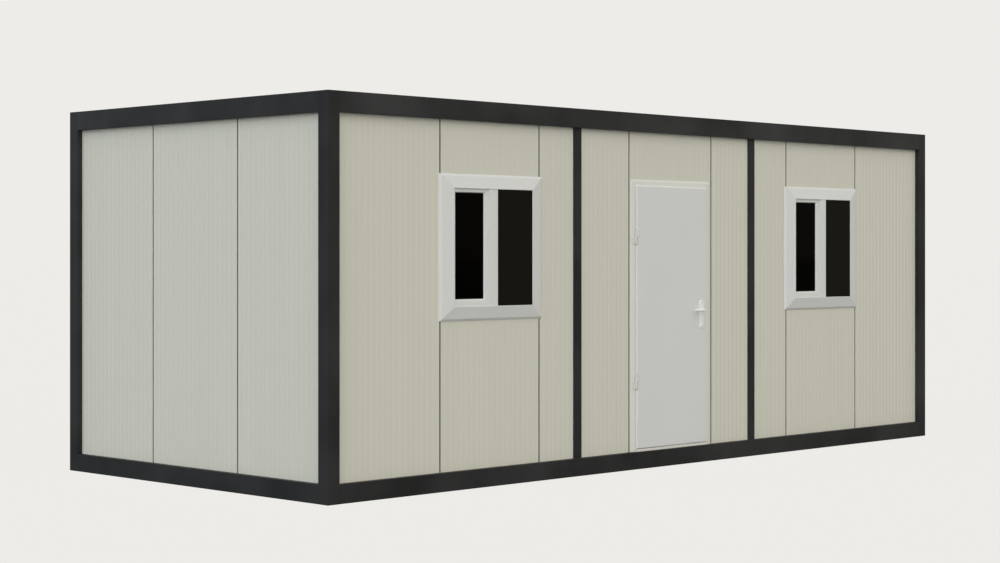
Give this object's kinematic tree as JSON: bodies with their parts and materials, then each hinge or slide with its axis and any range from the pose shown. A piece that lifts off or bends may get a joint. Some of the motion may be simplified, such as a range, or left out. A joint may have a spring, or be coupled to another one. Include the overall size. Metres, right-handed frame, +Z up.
{
  "type": "site cabin",
  "caption": "Flat-roofed steel-framed site cabin with insulated panel walls, sliding windows in sloped white trims and a hinged, outward-opening door with a lever handle.",
  "frame": {"origin": "middle of the footprint, on the ground", "axes": "+X along the front towards the right-hand end, +Y from the front to the back, +Z up"},
  "size_m": [7, 3.039, 2.7],
  "materials": {
    "frame_paint": "satin anthracite powder coat",
    "wall_paint": "satin coil coat on lined steel skins",
    "ceiling_paint": "matt coil coat",
    "door_paint": "satin white paint",
    "white_pvc": "satin",
    "window_glass": "clear",
    "screen_mesh": "matt woven mesh",
    "galvanised_steel": "spangled zinc",
    "fibre_board": "raw board",
    "floor_vinyl": "satin",
    "lock_metal": "satin nickel"
  },
  "bodies": {
    "cabin": {"corner_post_front_left": "frame_paint", "corner_post_front_right": "frame_paint", "corner_post_back_left": "frame_paint", "corner_post_back_right": "frame_paint", "base_rail_front": "frame_paint", "base_rail_back": "frame_paint", "base_rail_left": "frame_paint", "base_rail_right": "frame_paint", "top_rail_front": "frame_paint", "top_rail_back": "frame_paint", "top_rail_left": "frame_paint", "top_rail_right": "frame_paint", "mid_posts_front": "frame_paint", "mid_posts_back": "frame_paint", "floor_joists": "galvanised_steel", "underfloor_sheets": "galvanised_steel", "floor_board": "fibre_board", "floor_vinyl": "floor_vinyl", "roof_joists": "galvanised_steel", "ceiling_panels": "ceiling_paint", "roof_sheet": "galvanised_steel", "front_panel_1": "wall_paint", "front_panel_2": "wall_paint", "front_panel_3": "wall_paint", "front_panel_4": "wall_paint", "front_panel_5": "wall_paint", "front_panel_6": "wall_paint", "front_panel_7": "wall_paint", "door_side_strips": "wall_paint", "left_wall_panels": "wall_paint", "right_wall_panels": "wall_paint", "back_wall_panels": "wall_paint", "window_trims": "white_pvc", "window_frames": "white_pvc", "window_sashes": "white_pvc", "window_glass": "window_glass", "window_screens": "screen_mesh", "door_frame": "door_paint", "door_threshold": "door_paint", "door_hinge_pins": "door_paint"},
    "door": {"door_leaf": "door_paint", "door_hinge_leaves": "door_paint", "door_handle_plates": "white_pvc", "door_lock_cylinder": "lock_metal"},
    "lever": {"door_lever": "white_pvc"}
  },
  "joints": [
    {"name": "door_hinge", "type": "hinge", "parent": "cabin", "child": "door", "pos_m": [-0.425, -1.475, 0], "axis": [0, 0, -1], "range_deg": [0, 105]},
    {"name": "lever_turn", "type": "hinge", "parent": "door", "child": "lever", "pos_m": [0.35, -1.46, 1.192], "axis": [0, -1, 0], "range_deg": [0, 40], "stiffness_Nm_per_rad": 1.2, "springref_deg": -20.05}
  ]
}
